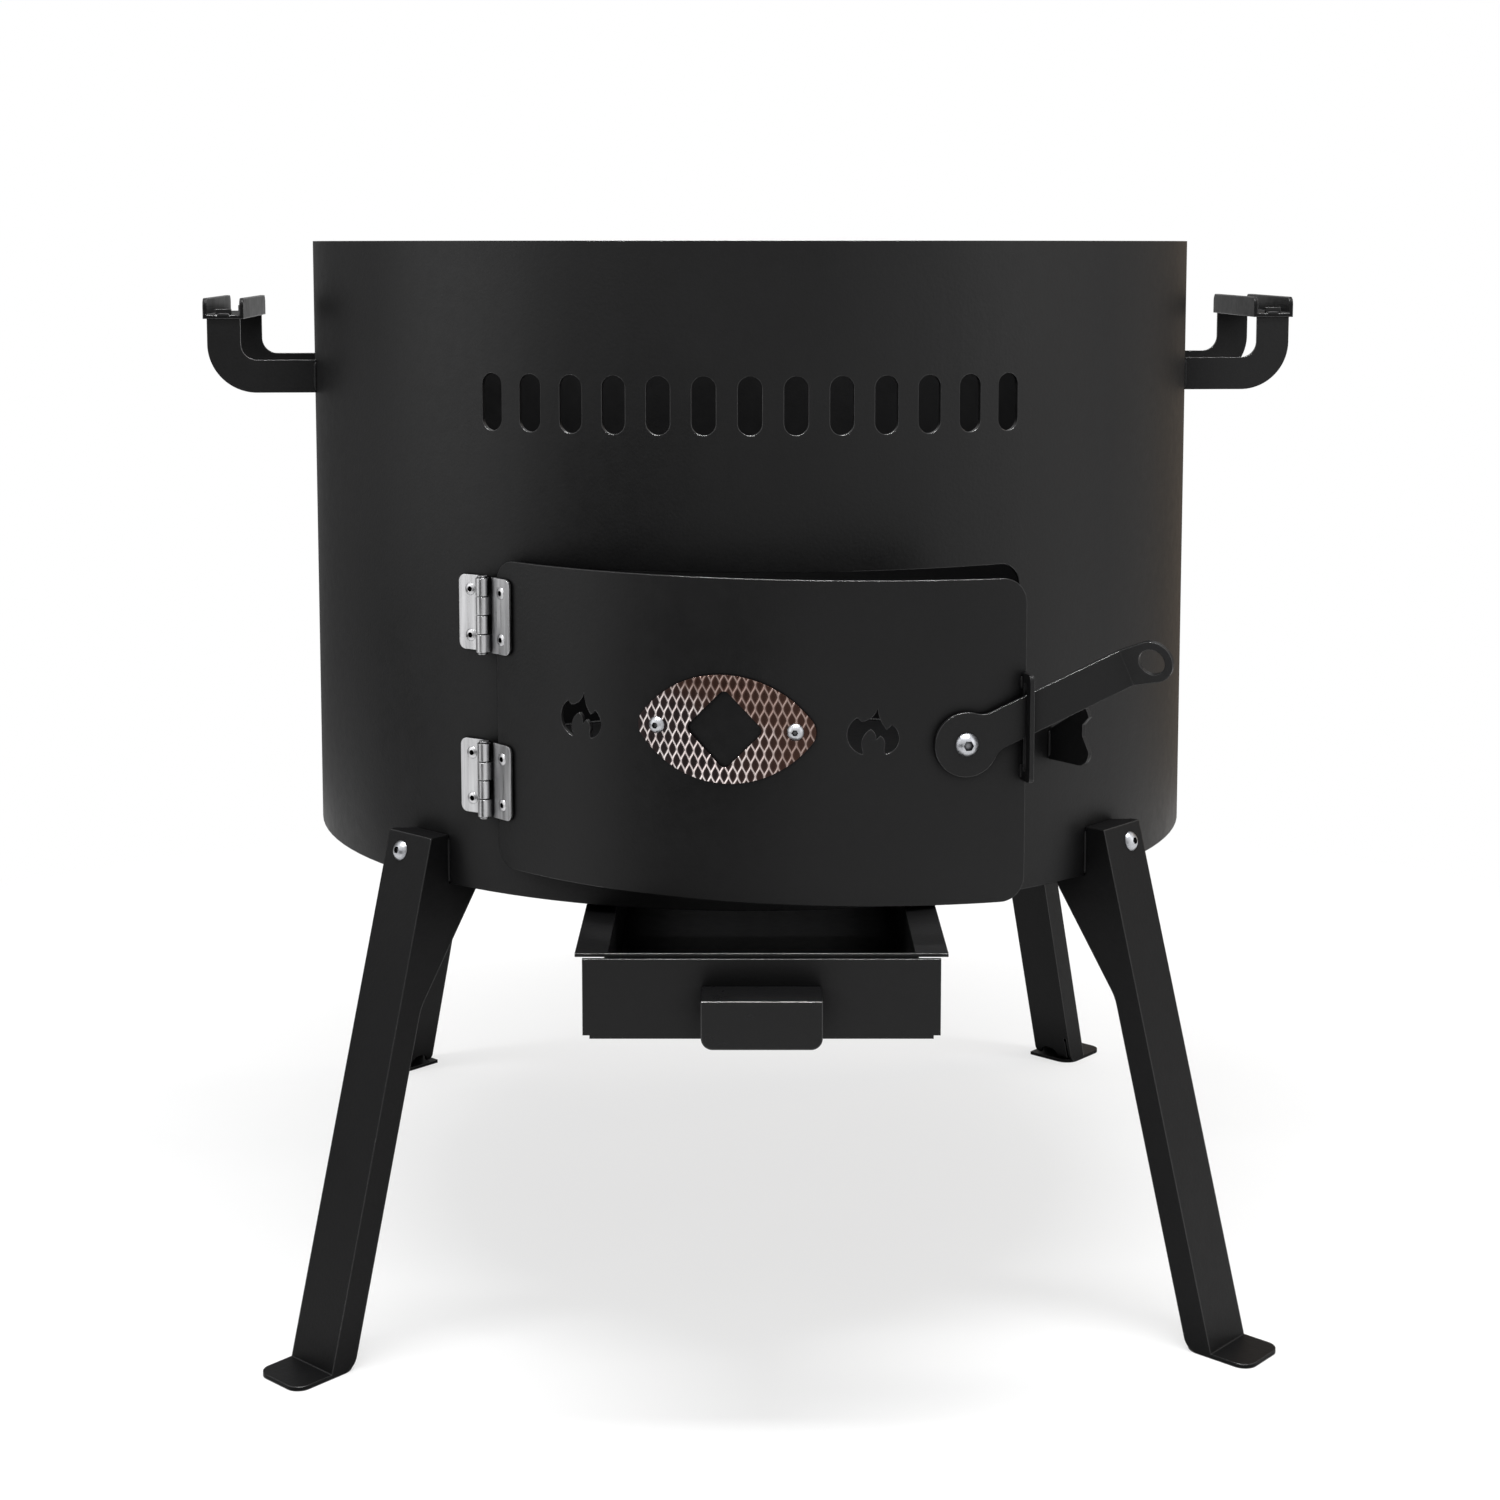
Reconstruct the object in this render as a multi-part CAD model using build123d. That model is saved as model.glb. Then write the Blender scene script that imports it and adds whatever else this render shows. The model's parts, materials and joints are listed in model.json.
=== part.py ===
from build123d import *
import os
from math import atan2, cos, degrees, radians, sin, sqrt, tan

# Cauldron stove of folded and rolled sheet steel.
# Millimetres, Z up. The floor is Z = 0, the drum's axis is Z and the door faces -Y.
# An azimuth is in degrees round the drum from the middle of the front, growing towards +X.
# A stretch that starts or ends at a seat is worked out from that seat's own value.

# General fits
weld_gap = 0.05
bolt_play = 0.25
shank_play = 0.05
running_play = 0.3

# Drum
drum_outer_r = 230.0
drum_wall = 2.0
drum_height = 303.0
leg_height = 219.0
seam_azimuth = 169.1
seam_width = 0.8
seam_depth = 0.5

# Air slots high on the front of the drum
slot_count = 13
slot_spread = 64.6
slot_width = 11.0
slot_height = 26.5
slot_below_rim = 73.3

# Drum floor, its ash opening and the grate over it
floor_plate_t = 2.0
ash_opening_width = 104.0
ash_opening_length = 168.0
ash_opening_corner_r = 8.0
ash_opening_centre_y = -76.0
grate_t = 3.0
grate_lap = 14.0
grate_corner_r = 12.0
grate_slot_width = 7.0
grate_slot_length = 66.0
grate_slot_pitch = 14.0
grate_rib = 12.0

# Doorway and the curved door that laps over it
doorway_left = -29.3
doorway_right = 32.85
doorway_sill = 17.0
doorway_height = 138.0
doorway_corner_r = 10.5
door_wall = 2.0
door_gap = 0.3
door_lap_side = 0.7
door_lap_ends = 2.5
door_corner_r = 11.0
door_ajar = 16.4

# Flame cut-outs in the door
flame_width = 22.3
flame_height = 20.4
flame_left_azimuth = -16.95
flame_right_azimuth = 16.75
flame_above_middle = 6.0

# Badge plate on the door
badge_azimuth = 0.7
badge_above_middle = 5.2
badge_width = 81.0
badge_height = 48.0
badge_tip_r = 8.0
badge_t = 1.0
badge_window = 25.5
badge_window_turn = 45.0
badge_window_corner_r = 3.0
badge_screw_offset = 31.5
badge_screw_r = 2.0
badge_head_r = 3.8
badge_head_h = 2.2
badge_socket = 2.5
badge_nut_across = 7.0
badge_nut_h = 3.2

# Butt hinges, two alike
hinge_azimuth = -31.45
hinge_standoff = 6.0
hinge_above_middle = 7.1
hinge_height = 35.0
hinge_pitch = 77.1
hinge_leaf = 17.2
hinge_leaf_t = 1.2
hinge_corner_r = 3.5
hinge_knuckle_r = 3.1
hinge_knuckle_gap = 0.6
hinge_knuckles = 4
hinge_pin_r = 1.5
hinge_pin_head_r = 2.3
hinge_pin_head_h = 0.7
rivet_offset = 10.6
rivet_pitch = 21.6
rivet_r = 1.6
rivet_head_r = 2.9
rivet_head_h = 0.6
rivet_bore_r = 1.25
rivet_bore_depth = 2.4
rivet_tail_r = 2.6
rivet_tail_h = 1.4

# Latch lever, its pivot on the door and its guide
latch_azimuth = 26.7
latch_height = 85.8
latch_raised = 23.7
lever_t = 2.0
lever_disc_r = 14.2
lever_neck_r = 9.0
lever_width = 16.8
lever_arm = 79.0
lever_tip_bend = 43.0
lever_tip = 13.3
lever_tip_r = 9.6
lever_eye_r = 6.0
pivot_r = 3.0
pivot_washer_r = 8.0
pivot_washer_t = 1.0
pivot_head_r = 5.25
pivot_head_h = 3.3
pivot_socket = 4.0
pivot_nut_across = 10.0
pivot_nut_h = 5.0
bolt_tail = 1.5
guide_azimuth = 33.3
guide_t = 2.0
guide_below = 17.2
guide_above = 30.2
guide_depth = 9.4
guide_rail = 4.2
guide_corner_r = 2.5
guide_play = 0.5

# Keeper on the drum, which the lever drops behind
keeper_azimuth = 38.0
keeper_t = 2.0
keeper_depth = 25.6
keeper_low = 25.5
keeper_seat = 11.3
keeper_horn = 2.0
keeper_horn_width = 4.0
keeper_notch = 4.0
keeper_corner_r = 7.0
keeper_toe_r = 6.6

# Carrying handles stand this far round from the door's sides, and the pairs of legs from its middle
carrier_turn = 3.6
handle_from_front = 90.0
leg_turn = 3.0
leg_spacing = 90.0
rear_leg_turn = 2.45
rear_leg_spacing = 88.7

# Legs, folded channels: an outer face, a side that reaches under the drum and a lower inner face
leg_sheet = 2.0
leg_width = 30.0
leg_splay = 14.9
leg_standoff = 10.5
leg_head_lap = 23.5
leg_side_width = 13.7
leg_side_corner_r = 8.0
gusset_reach = 21.0
gusset_drop = 56.5
gusset_bend_r = 22.0
leg_cap_chamfer = 7.0
leg_inner_width = 27.5
leg_inner_clear = 0.8
leg_inner_tip = 162.0
leg_inner_shoulder = 118.0
leg_inner_corner_r = 3.0
leg_arch_width = 12.0
leg_arch_height = 5.0
leg_arch_from_edge = 4.5
leg_relief_r = 1.4
leg_relief_height = 15.8
leg_slit = 1.2
foot_tab = 19.5
foot_heel = 17.0
foot_corner_r = 7.0
foot_heel_corner_r = 9.0
leg_bolt_drop = 8.4
leg_bolt_offset = 5.0
leg_bolt_r = 2.5
leg_bolt_head_r = 4.75
leg_bolt_head_h = 2.75
leg_bolt_socket = 3.0
leg_nut_across = 8.0
leg_nut_h = 4.0
spacer_r = 5.0

# Carrying handles, two elbow plates and a channel grip each
handle_spacing = 83.0
handle_sheet = 2.0
handle_bar = 16.8
handle_arm_below_rim = 77.5
handle_reach = 51.2
handle_rise = 37.9
elbow_outer_r = 25.0
elbow_inner_r = 8.2
elbow_tab_width = 8.0
elbow_tab_height = 5.0
grip_length = 86.5
grip_width = 20.6
grip_side = 10.5
grip_end_r = 4.0

# Ash drawer, its front, its pull and the rails under the drum floor
drawer_offset = 5.0
drawer_pulled = 56.0
drawer_sheet = 1.5
drawer_width = 136.0
drawer_length = 300.0
drawer_depth = 35.0
drawer_flange = 12.8
drawer_headroom = 3.4
drawer_front_t = 2.0
drawer_front_width = 155.0
drawer_front_height = 35.3
drawer_front_top_drop = 1.9
drawer_front_notch = 3.0
drawer_front_overhang = 2.0
pull_width = 51.7
pull_depth = 22.0
pull_drop = 12.0
pull_lip = 21.0
pull_sheet = 2.0
pull_corner_r = 5.0
rail_sheet = 2.0
rail_foot = 14.0
rail_ledge = 10.5
rail_setback = 42.0
rail_tail = 10.0

# Levels and radii that follow from the sizes above
drum_inner_r = drum_outer_r - drum_wall
drum_bottom_z = leg_height
rim_z = drum_bottom_z + drum_height
floor_top_z = drum_bottom_z + floor_plate_t
doorway_z = drum_bottom_z + doorway_sill
doorway_mid_z = doorway_z + doorway_height / 2
door_inner_r = drum_outer_r + door_gap
door_outer_r = door_inner_r + door_wall
latch_z = drum_bottom_z + latch_height
leg_head_z = drum_bottom_z + leg_head_lap
leg_head_r = drum_outer_r + leg_standoff
arm_z = rim_z - handle_arm_below_rim
drawer_top_z = drum_bottom_z - drawer_headroom
drawer_front_y = -(drum_outer_r + drawer_front_overhang) - drawer_pulled
LOW = (Align.CENTER, Align.CENTER, Align.MIN)
START = (Align.MIN, Align.CENTER)


# Placing

def around(azimuth):
    """Frame on the drum's axis with X outward at an azimuth, Y sideways towards a greater one, Z up."""
    return Location((0, 0, 0), (0, 0, azimuth - 90))


def facing(azimuth, r, z):
    """Plane square to the radius at an azimuth, with x sideways, y up and z outward."""
    seat = Plane(origin=(r, 0, z), x_dir=(0, 1, 0), z_dir=(1, 0, 0))
    return Plane(around(azimuth) * seat.location)


def plan_point(r, azimuth):
    return (r * sin(radians(azimuth)), -r * cos(radians(azimuth)))


hinge_r = drum_outer_r + hinge_standoff
hinge_x, hinge_y = plan_point(hinge_r, hinge_azimuth)


def hang(shape):
    """Turns a piece that was made on the closed door to where the ajar door holds it."""
    to_axis = Pos(hinge_x, hinge_y, 0)
    return to_axis * Rot(0, 0, -door_ajar) * to_axis.inverse() * shape


# Sheet and fastener shapes

def raised(plane, outline, height):
    """Plate of some height that stands on a plane, with its outline drawn on that plane."""
    return extrude(plane * outline, height, dir=plane.z_dir)


def curved_plate(inner_r, outer_r, azimuth_0, azimuth_1, z_0, z_1, corner_r):
    """Stretch of rolled sheet between two azimuths and two heights, with rounded corners."""
    middle = (azimuth_0 + azimuth_1) / 2
    outer = ThreePointArc(*[plan_point(outer_r, a) for a in (azimuth_0, middle, azimuth_1)])
    inner = ThreePointArc(*[plan_point(inner_r, a) for a in (azimuth_1, middle, azimuth_0)])
    ends = [Line(outer @ 1, inner @ 0), Line(inner @ 1, outer @ 0)]
    plate = raised(Plane.XY.offset(z_0), make_face([outer, ends[0], inner, ends[1]]), z_1 - z_0)
    corners = [
        edge
        for edge in plate.edges().filter_by(GeomType.LINE)
        if abs(edge.length - (outer_r - inner_r)) < 0.001
    ]
    return fillet(corners, corner_r)


def side_plate(outline, sideways_0, sideways_1):
    """Flat plate that stands on a radius: its outline is in outward and up."""
    face = Plane(origin=(0, sideways_1, 0), x_dir=(1, 0, 0), z_dir=(0, -1, 0))
    return raised(face, outline, sideways_1 - sideways_0)


def rod(r, start, end):
    """Round bar on the local Z axis between two heights."""
    return Pos(0, 0, start) * Cylinder(r, end - start, align=LOW)


def button_head(r, height, socket):
    """Low domed screw head that stands on Z = 0, with a hexagon socket."""
    dome_r = (r * r + height * height) / (2 * height)
    dome = Pos(0, 0, height - dome_r) * Sphere(dome_r)
    head = dome & rod(r, 0, height)
    hexagon = RegularPolygon(socket / 2, 6, major_radius=False)
    return head - raised(Plane.XY.offset(height / 2), hexagon, height)


def hex_nut(across, height, bore_r):
    """Hexagon nut that hangs under Z = 0."""
    hexagon = RegularPolygon(across / 2, 6, major_radius=False)
    return raised(Plane.XY.offset(-height), hexagon, height) - rod(bore_r, -height, 0)


def hex_corner(across):
    return across / 2 / cos(radians(30))


# Shapes of the cut-outs

def flame(width, height):
    """Plain flame: a leaning ring of three tips, open at its foot round a tongue of sheet."""
    place = (-0.2 * width, -0.5 * height)
    arcs = []
    for middle, end in (
        ((-0.5, -0.15), (-0.3, 0.29)), ((-0.27, 0.24), (-0.22, 0.2)), ((-0.02, 0.3), (0.09, 0.5)),
        ((0.14, 0.24), (0.25, 0.03)), ((0.31, 0.07), (0.36, 0.13)), ((0.5, -0.2), (0.25, -0.5)),
        ((0.225, -0.44), (0.22, -0.37)), ((0.23, -0.23), (0.14, -0.1)), ((0.095, -0.15), (0.06, -0.19)),
        ((0.04, -0.06), (-0.04, 0.04)), ((-0.2, -0.14), (-0.22, -0.37)), ((-0.2, -0.44), (-0.2, -0.5)),
    ):
        goal = (end[0] * width, end[1] * height)
        arcs.append(ThreePointArc(place, (middle[0] * width, middle[1] * height), goal))
        place = goal
    return make_face(arcs)


def badge_outline():
    """Oval of two long arcs that meet in two small tip arcs."""
    half_w = badge_width / 2
    half_h = badge_height / 2
    tip_x = half_w - badge_tip_r
    long_r = (tip_x**2 + half_h**2 - badge_tip_r**2) / (2 * (half_h - badge_tip_r))
    share = 1 / (long_r - badge_tip_r)
    x = long_r * tip_x * share
    y = (long_r - half_h) * badge_tip_r * share
    return make_face([
        ThreePointArc((-x, y), (0, half_h), (x, y)),
        ThreePointArc((x, y), (half_w, 0), (x, -y)),
        ThreePointArc((x, -y), (0, -half_h), (-x, -y)),
        ThreePointArc((-x, -y), (-half_w, 0), (-x, y)),
    ])


def badge_screw_azimuths():
    step = degrees(badge_screw_offset / door_outer_r)
    return [badge_azimuth - step, badge_azimuth + step]


# Hinge rows, from the top: the frame's leaf has the first knuckle, the door's leaf the second

def hinge_centres():
    return {
        "upper": doorway_mid_z + hinge_above_middle + hinge_pitch / 2,
        "lower": doorway_mid_z + hinge_above_middle - hinge_pitch / 2,
    }


def knuckle_rows(first):
    """Heights of every second knuckle, measured from the hinge's middle."""
    row = hinge_height / hinge_knuckles
    tops = [hinge_height / 2 - row * n for n in range(first, hinge_knuckles, 2)]
    return [(top - row + hinge_knuckle_gap / 2, top - hinge_knuckle_gap / 2) for top in tops]


def rivet_places(side):
    """Sideways place and height of the two rivets in one leaf."""
    return [(side * rivet_offset, up) for up in (-rivet_pitch / 2, rivet_pitch / 2)]


def hinge_leaf_plate(side, leaf_r, first):
    """One leaf with its knuckles, in the hinge's own frame: X outward, Y sideways, Z up."""
    near = hinge_knuckle_r + 2 * running_play
    blank = Pos(side * (near + hinge_leaf) / 2, 0) * Rectangle(hinge_leaf - near, hinge_height)
    outer = blank.vertices().sort_by(Axis.X)
    blank = fillet(outer[-2:] if side > 0 else outer[:2], hinge_corner_r)
    flat = Plane(origin=(leaf_r, 0, 0), x_dir=(0, 1, 0), z_dir=(1, 0, 0))
    leaf = raised(flat, blank, hinge_leaf_t)
    for low, high in knuckle_rows(first):
        strap = Polygon(
            (leaf_r, side * (near + running_play)), (leaf_r, side * (hinge_knuckle_r - hinge_leaf_t)),
            (hinge_r, side * (hinge_knuckle_r - hinge_leaf_t)), (hinge_r, side * hinge_knuckle_r),
            (leaf_r + hinge_leaf_t, side * hinge_knuckle_r),
            (leaf_r + hinge_leaf_t, side * (near + running_play)), align=None,
        )
        knuckle = Pos(hinge_r, 0, low) * Cylinder(hinge_knuckle_r, high - low, align=LOW)
        leaf = leaf + raised(Plane.XY.offset(low), strap, high - low) + knuckle
    leaf -= Pos(hinge_r, 0, -hinge_height / 2) * Cylinder(
        hinge_pin_r + shank_play, hinge_height, align=LOW
    )
    for sideways, up in rivet_places(side):
        seat = Plane(origin=(leaf_r, sideways, up), z_dir=(1, 0, 0))
        leaf -= raised(seat, Circle(rivet_r + shank_play), hinge_leaf_t)
    return leaf


frame_leaf_r = drum_outer_r + weld_gap
door_leaf_r = door_outer_r + weld_gap


def at_hinge(z):
    return around(hinge_azimuth) * Pos(0, 0, z)


def rivet_holes(side, r_0, r_1):
    """Cutters for the rivets of both hinges through a sheet between two radii."""
    cutters = []
    for z in hinge_centres().values():
        for sideways, up in rivet_places(side):
            seat = Plane(origin=(r_0, sideways, up), z_dir=(1, 0, 0))
            hole = raised(seat, Circle(rivet_r + shank_play), r_1 - r_0)
            cutters.append(at_hinge(z) * hole)
    return cutters


# Legs

leg_slope = radians(leg_splay)
foot_r = leg_head_r + leg_head_z * tan(leg_slope)
leg_skin = leg_sheet / cos(leg_slope)


def leg_face_r(z):
    """Radius of a leg's outer face at a height."""
    return leg_head_r + (leg_head_z - z) * tan(leg_slope)


def leg_places():
    """Azimuth of each leg and the side that its fold is on."""
    front = leg_turn - leg_spacing / 2
    rear = 180 + rear_leg_turn - rear_leg_spacing / 2
    return {
        "front_left": (front, 1),
        "front_right": (front + leg_spacing, -1),
        "rear_right": (rear, -1),
        "rear_left": (rear + rear_leg_spacing, 1),
    }


def leg_bolt_frame(azimuth, fold):
    """Frame on a leg's outer face at its bolt, with Z square out of the face."""
    z = leg_head_z - leg_bolt_drop
    seat = Plane(
        origin=(leg_face_r(z), -fold * leg_bolt_offset, z),
        x_dir=(0, 1, 0),
        z_dir=(cos(leg_slope), 0, sin(leg_slope)),
    )
    return around(azimuth) * seat.location


def leg_nut_depth():
    """Depth from a leg's outer face to its nut, so that the nut's corners clear the drum's wall."""
    corner = hex_corner(leg_nut_across)
    wall_r = sqrt(drum_inner_r**2 - (leg_bolt_offset + corner) ** 2)
    face_r = leg_face_r(leg_head_z - leg_bolt_drop)
    return (face_r + corner * sin(leg_slope) - wall_r) / cos(leg_slope) + weld_gap


def leg_inner_face(fold, knee, heel):
    """Inner face of a leg, folded from its side's inner edge from knee to heel and slit free at the foot."""
    half = leg_width / 2
    fall = atan2(heel[0] - knee[0], knee[1] - heel[1])
    face = Plane(
        origin=(heel[0], 0, heel[1]), x_dir=(0, 1, 0), z_dir=(cos(fall), 0, sin(fall))
    )
    low = (leg_sheet + leg_inner_clear) / cos(fall)
    free = half - leg_inner_width
    blank = Polygon((half, low), (free, low), (free, leg_inner_shoulder), (half, leg_inner_tip), align=None)
    blank = fillet(blank.vertices().sort_by_distance((free, low))[0], leg_inner_corner_r)
    arch = Ellipse(leg_arch_width / 2, leg_arch_height)
    blank -= Pos(free + leg_arch_from_edge + leg_arch_width / 2, low) * arch
    slit = Rectangle(leg_sheet + leg_slit, leg_relief_height, align=(Align.MAX, Align.MIN))
    relief = Pos(half - leg_sheet - leg_slit / 2, leg_relief_height) * Circle(leg_relief_r)
    blank -= Pos(half, 0) * slit + relief
    if fold < 0:
        blank = mirror(blank, about=Plane.YZ)
    return raised(face, blank, leg_sheet)


def foot(fold):
    """Foot plate, folded from the bottom of a leg's side."""
    half = leg_width / 2
    plate = Pos(foot_r - foot_heel, 0) * Rectangle(foot_heel + foot_tab, leg_width, align=START)
    for end in (-1, 1):
        corner = plate.vertices().sort_by_distance((foot_r + foot_tab, end * half))[0]
        plate = fillet(corner, foot_corner_r)
    plate = fillet(plate.vertices().sort_by_distance((foot_r - foot_heel, fold * half))[0], foot_heel_corner_r)
    return raised(Plane.XY, plate, leg_sheet)


def leg(azimuth, fold):
    half = leg_width / 2
    seat_r = drum_outer_r + weld_gap
    front = Polygon(
        (leg_head_r, leg_head_z), (foot_r, 0), (foot_r - leg_skin, 0),
        (leg_head_r - leg_skin, leg_head_z), align=None,
    )
    flange = side_plate(front, -half, half)
    bend_z = drum_bottom_z - gusset_drop
    knee = (leg_face_r(bend_z) - leg_side_width, bend_z)
    heel = (foot_r - leg_side_width, 0)
    side = Polygon(
        (leg_head_r, leg_head_z), (seat_r, leg_head_z), (seat_r, drum_bottom_z - weld_gap),
        (drum_outer_r - gusset_reach, drum_bottom_z - weld_gap), knee, heel, (foot_r, 0), align=None,
    )
    side = fillet(side.vertices().sort_by_distance(heel)[0], leg_side_corner_r)
    side = fillet(side.vertices().sort_by_distance(knee)[0], gusset_bend_r)
    fold_low = half - leg_sheet if fold > 0 else -half
    gusset = side_plate(side, fold_low, fold_low + leg_sheet)
    cap = Pos(seat_r, 0, leg_head_z - leg_sheet) * Box(
        leg_head_r - seat_r, leg_width, leg_sheet, align=(Align.MIN, Align.CENTER, Align.MIN)
    )
    free = cap.edges().filter_by(Axis.Z).sort_by_distance((seat_r, -fold * half, leg_head_z))[0]
    cap = chamfer(free, leg_cap_chamfer)
    inner = leg_inner_face(fold, knee, heel)
    whole = around(azimuth) * (flange + gusset + inner + cap + foot(fold))
    return whole - leg_bolt_frame(azimuth, fold) * rod(leg_bolt_r + bolt_play, -leg_sheet * 2, leg_sheet)


def leg_bolt(azimuth, fold):
    length = leg_nut_depth() + leg_nut_h + bolt_tail
    bolt = button_head(leg_bolt_head_r, leg_bolt_head_h, leg_bolt_socket) + rod(leg_bolt_r, -length, 0)
    return leg_bolt_frame(azimuth, fold) * bolt


def leg_spacer(azimuth, fold):
    """Sleeve between a leg and the drum, saddled to the drum's curve."""
    sleeve = rod(spacer_r, -leg_nut_depth(), -leg_sheet) - rod(leg_bolt_r + bolt_play, -leg_nut_depth(), 0)
    drum = Cylinder(drum_outer_r + weld_gap, rim_z, align=LOW)
    return leg_bolt_frame(azimuth, fold) * sleeve - drum


def leg_nut(azimuth, fold):
    nut = hex_nut(leg_nut_across, leg_nut_h, leg_bolt_r + shank_play)
    return leg_bolt_frame(azimuth, fold) * Pos(0, 0, -leg_nut_depth()) * nut


# Drum

def drum_shell():
    shell = Cylinder(drum_outer_r, drum_height, align=LOW) - Cylinder(drum_inner_r, drum_height, align=LOW)
    shell = Pos(0, 0, drum_bottom_z) * shell
    shell -= curved_plate(
        drum_inner_r - drum_wall, drum_outer_r + drum_wall, doorway_left, doorway_right,
        doorway_z, doorway_z + doorway_height, doorway_corner_r,
    )
    slot_angle = degrees(slot_width / drum_outer_r)
    pitch = (slot_spread - slot_angle) / (slot_count - 1)
    for n in range(slot_count):
        azimuth = (n - (slot_count - 1) / 2) * pitch
        slot = Rot(0, 0, 90) * SlotOverall(slot_height, slot_width)
        start = facing(azimuth, drum_inner_r - drum_wall, rim_z - slot_below_rim)
        shell -= raised(start, slot, 3 * drum_wall)
    for cutter in rivet_holes(-1, drum_inner_r - drum_wall, drum_outer_r + drum_wall):
        shell -= cutter
    for azimuth, fold in leg_places().values():
        shell -= leg_bolt_frame(azimuth, fold) * rod(leg_bolt_r + bolt_play, -leg_nut_depth(), -leg_sheet)
    groove = Box(seam_depth, seam_width, drum_height, align=(Align.MAX, Align.CENTER, Align.MIN))
    return shell - around(seam_azimuth) * Pos(drum_outer_r, 0, drum_bottom_z) * groove


def drum_floor():
    disc = Pos(0, 0, drum_bottom_z) * Cylinder(drum_inner_r - weld_gap, floor_plate_t, align=LOW)
    gap = RectangleRounded(ash_opening_width, ash_opening_length, ash_opening_corner_r)
    middle = Plane(origin=(drawer_offset, ash_opening_centre_y, drum_bottom_z))
    return disc - raised(middle, gap, floor_plate_t)


def fire_grate():
    """Slotted plate that lies on the drum floor round the ash opening."""
    width = ash_opening_width + 2 * grate_lap
    length = ash_opening_length + 2 * grate_lap
    plate = raised(Plane.XY, RectangleRounded(width, length, grate_corner_r), grate_t)
    columns = int((ash_opening_width - grate_slot_width) / grate_slot_pitch) + 1
    rows = int((ash_opening_length + grate_rib) / (grate_slot_length + grate_rib))
    slot = Rot(0, 0, 90) * SlotOverall(grate_slot_length, grate_slot_width)
    for place in GridLocations(grate_slot_pitch, grate_slot_length + grate_rib, columns, rows):
        plate -= place * raised(Plane.XY, slot, grate_t)
    return Pos(drawer_offset, ash_opening_centre_y, floor_top_z) * plate


def latch_keeper():
    """Upright plate on the drum with a sloped seat and a horn in front of it."""
    seat_r = drum_outer_r + weld_gap
    tip_r = drum_outer_r + keeper_depth
    low_z = latch_z - keeper_low
    seat_z = latch_z - keeper_seat
    horn_z = latch_z + keeper_horn
    notch_r = tip_r - keeper_notch
    outline = Polygon(
        (seat_r, seat_z), (tip_r - keeper_horn_width, horn_z), (tip_r - keeper_notch / 2, horn_z),
        (tip_r, horn_z - keeper_horn_width), (notch_r, horn_z - 2 * keeper_horn_width),
        (notch_r, low_z + 2 * keeper_corner_r), (tip_r, low_z + keeper_corner_r), (tip_r, low_z),
        (seat_r, low_z), align=None,
    )
    corner = outline.vertices().sort_by_distance((tip_r, low_z))[0]
    plate = side_plate(fillet(corner, keeper_toe_r), -keeper_t / 2, keeper_t / 2)
    return around(keeper_azimuth) * plate


# Carrying handles

def handle_azimuth(side):
    return carrier_turn + handle_from_front * side


def elbow(side, sideways):
    """Plate that leaves the drum level, turns up and ends in a tab through the grip."""
    out_r = drum_outer_r + handle_reach
    top_z = arm_z + handle_rise
    root_r = sqrt(drum_inner_r**2 - handle_spacing**2)
    outline = Polygon(
        (root_r, arm_z), (out_r, arm_z), (out_r, top_z), (out_r - handle_bar, top_z),
        (out_r - handle_bar, arm_z + handle_bar), (root_r, arm_z + handle_bar), align=None,
    )
    outer = outline.vertices().sort_by_distance((out_r, arm_z))[0]
    outline = fillet(outer, elbow_outer_r)
    inner = outline.vertices().sort_by_distance((out_r - handle_bar, arm_z + handle_bar))[0]
    outline = fillet(inner, elbow_inner_r)
    tab = Pos(out_r - handle_bar / 2, top_z) * Rectangle(
        elbow_tab_width, elbow_tab_height, align=(Align.CENTER, Align.MIN)
    )
    half = handle_sheet / 2
    plate = side_plate(outline + tab, sideways - half, sideways + half)
    drum = Cylinder(drum_outer_r + weld_gap, rim_z, align=LOW)
    return around(handle_azimuth(side)) * (plate - drum)


def grip(side):
    """Channel that lies across both elbows, open upwards, with slots for their tabs."""
    middle_r = drum_outer_r + handle_reach - handle_bar / 2
    base_z = arm_z + handle_rise
    base = Box(grip_width, grip_length, handle_sheet, align=LOW)
    sides = []
    for end in (-1, 1):
        flange = Rectangle(grip_length, grip_side, align=(Align.CENTER, Align.MIN))
        inner_x = end * (grip_width - handle_sheet) / 2 - handle_sheet / 2
        face = Plane(origin=(inner_x, 0, 0), x_dir=(0, 1, 0), z_dir=(1, 0, 0))
        wall = raised(face, flange, handle_sheet)
        top = wall.edges().filter_by(Axis.X).group_by(Axis.Z)[-1]
        sides.append(fillet(top, grip_end_r))
    channel = base + sides[0] + sides[1]
    for sideways in (-handle_spacing / 2, handle_spacing / 2):
        channel -= Pos(0, sideways, 0) * Box(
            elbow_tab_width + 2 * bolt_play, handle_sheet + 2 * bolt_play, handle_sheet, align=LOW
        )
    return around(handle_azimuth(side)) * Pos(middle_r, 0, base_z) * channel


# Door and what it carries, made closed and then hung ajar

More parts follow.
